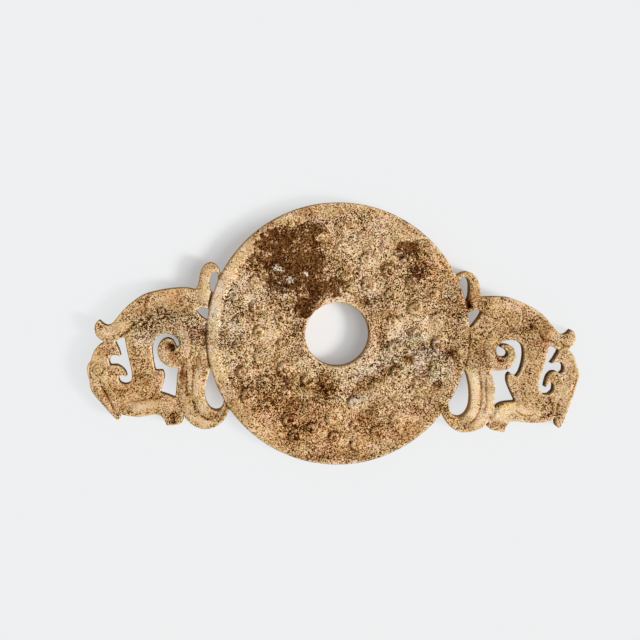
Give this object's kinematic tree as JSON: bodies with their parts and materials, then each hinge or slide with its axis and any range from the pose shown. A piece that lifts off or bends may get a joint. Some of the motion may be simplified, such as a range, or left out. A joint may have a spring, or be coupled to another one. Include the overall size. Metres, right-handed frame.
{
  "type": "jade plaque",
  "caption": "Flat carved jade plaque: a ring disc covered in grain curls between two crested beasts in openwork, lying on its back.",
  "frame": {"origin": "middle of the bounding box seen from the front, at the level of the back rim it lies on", "axes": "+X along the length, towards the right-hand beast; +Y towards the beasts' upright tails; +Z out of the carved front"},
  "size_m": [0.1476, 0.0786, 0.006],
  "materials": {
    "weathered_jade": "weathered nephrite, calcified to buff, with brown earth stains, matt with a faint sheen on high edges"
  },
  "bodies": {
    "root": {"jade_plaque": "weathered_jade"}
  },
  "joints": []
}
